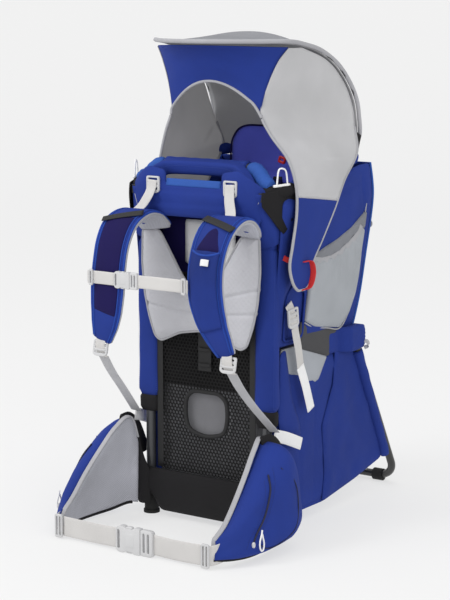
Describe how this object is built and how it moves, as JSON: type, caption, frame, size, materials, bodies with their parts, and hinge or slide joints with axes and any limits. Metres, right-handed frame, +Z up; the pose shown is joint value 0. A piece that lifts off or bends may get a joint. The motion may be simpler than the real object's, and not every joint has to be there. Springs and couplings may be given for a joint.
{
  "type": "child carrier backpack",
  "caption": "Framed backpack for carrying a seated child, with fold-out kickstand, flip-back sunshade, padded harness and hip belt.",
  "frame": {"origin": "on the floor, under the middle of the whole carrier as it stands on its front feet and open kickstand", "axes": "+Z up; -Y towards the wearer's front, so the wearer's back rests on the panel's -Y side; +X towards the wearer's left hand"},
  "size_m": [0.4762, 0.7273, 0.936],
  "materials": {
    "frame_tube": "anodised dark grey",
    "black_tube": "black powder coat",
    "steel": "satin",
    "hard_black": "fine texture",
    "hard_grey": "moulded",
    "rubber": "matte",
    "blue_fabric": "woven",
    "navy_fabric": "woven",
    "blue_pad": "woven, padded",
    "black_fabric": "woven",
    "black_mesh": "open knitted mesh",
    "grey_mesh": "open knitted mesh",
    "grey_fabric": "woven",
    "quilt_grey": "quilted mesh",
    "grey_webbing": "ribbed webbing",
    "white_webbing": "reflective webbing",
    "black_webbing": "ribbed webbing",
    "red_trim": "woven tape",
    "red_plastic": "moulded"
  },
  "bodies": {
    "frame": {"main_frame": "frame_tube", "frame_feet": "rubber", "lumbar_bar": "frame_tube", "seat_frame": "frame_tube", "cockpit_rim": "frame_tube", "rim_clamps": "hard_black", "rear_stays": "frame_tube", "stand_brackets": "hard_black", "stand_pins": "steel", "shade_brackets": "hard_black", "back_mesh": "black_mesh", "lumbar_pad": "black_fabric", "frame_sleeves": "blue_fabric", "yoke_cover": "blue_fabric", "grab_handle": "blue_pad", "rim_pads": "blue_pad", "corner_patches": "black_fabric", "torso_ladder": "black_webbing", "cabin_liner": "navy_fabric", "bag_sides": "blue_fabric", "bag_rear": "blue_fabric", "lower_bag": "blue_fabric", "gussets": "blue_fabric", "side_pockets": "grey_mesh", "leg_gussets": "grey_fabric", "hip_wing_left": "quilt_grey", "hip_wing_right": "quilt_grey", "hip_pockets": "blue_fabric", "hip_slides": "hard_grey", "hip_web_socket": "grey_webbing", "hip_socket": "hard_grey", "stabilisers": "black_webbing", "web_tails": "white_webbing", "ladder_locks": "hard_grey", "rear_hook": "red_plastic"},
    "kickstand": {"kickstand": "black_tube", "stand_feet": "rubber", "stand_straps": "grey_webbing"},
    "sunshade": {"shade_hoop": "hard_grey", "shade_roof": "grey_fabric", "shade_front": "blue_fabric", "shade_sides": "grey_mesh"},
    "harness": {"harness_back": "quilt_grey", "shoulder_strap_left": "blue_pad", "shoulder_strap_right": "blue_pad", "strap_locks": "hard_grey", "strap_webs": "grey_webbing"},
    "sternum": {"sternum_web_socket": "grey_webbing", "sternum_socket": "hard_grey"},
    "sternum_clip": {"sternum_plug": "hard_grey", "sternum_web_plug": "grey_webbing"},
    "hip_clip": {"hip_plug": "hard_grey", "hip_web_plug": "grey_webbing"},
    "stirrup_left": {"stirrup_left": "white_webbing"},
    "stirrup_right": {"stirrup_right": "white_webbing"},
    "zip_pull_left": {"zip_pull_left": "white_webbing"},
    "zip_pull_right": {"zip_pull_right": "white_webbing"},
    "seat": {"seat_pad": "blue_pad", "seat_back": "blue_fabric", "child_harness": "red_trim"}
  },
  "joints": [
    {"name": "kickstand_fold", "type": "hinge", "parent": "frame", "child": "kickstand", "pos_m": [0, 0.171, 0.337], "axis": [-1, 0, 0], "range_deg": [0, 40], "deforming": ["gussets", "stand_straps"]},
    {"name": "sunshade_flip", "type": "hinge", "parent": "frame", "child": "sunshade", "pos_m": [0, 0.177, 0.716], "axis": [-1, 0, 0], "range_deg": [0, 75]},
    {"name": "harness_height", "type": "slide", "parent": "frame", "child": "harness", "axis": [0, 0, -1], "range_m": [0, 0.08], "deforming": ["strap_webs"]},
    {"name": "sternum_height", "type": "slide", "parent": "harness", "child": "sternum", "axis": [0, 0, 1], "range_m": [-0.025, 0.025]},
    {"name": "sternum_release", "type": "slide", "parent": "sternum", "child": "sternum_clip", "axis": [1, 0, 0], "range_m": [0, 0.04], "deforming": ["sternum_web_plug"]},
    {"name": "hip_release", "type": "slide", "parent": "frame", "child": "hip_clip", "axis": [1, 0, 0], "range_m": [0, 0.05], "deforming": ["hip_web_plug"]},
    {"name": "stirrup_swing_left", "type": "hinge", "parent": "frame", "child": "stirrup_left", "pos_m": [-0.167, -0.078, 0.39], "axis": [0, 1, 0], "range_deg": [0, 60]},
    {"name": "stirrup_swing_right", "type": "hinge", "parent": "frame", "child": "stirrup_right", "pos_m": [0.167, -0.078, 0.39], "axis": [0, -1, 0], "range_deg": [0, 60]},
    {"name": "zip_pull_swing_left", "type": "hinge", "parent": "frame", "child": "zip_pull_left", "pos_m": [-0.2345, -0.278, 0.062], "axis": [1, 0, 0], "range_deg": [-35, 35]},
    {"name": "zip_pull_swing_right", "type": "hinge", "parent": "frame", "child": "zip_pull_right", "pos_m": [0.2345, -0.278, 0.062], "axis": [1, 0, 0], "range_deg": [-35, 35]},
    {"name": "seat_height", "type": "slide", "parent": "frame", "child": "seat", "axis": [0, 0, 1], "range_m": [-0.04, 0.04]}
  ]
}
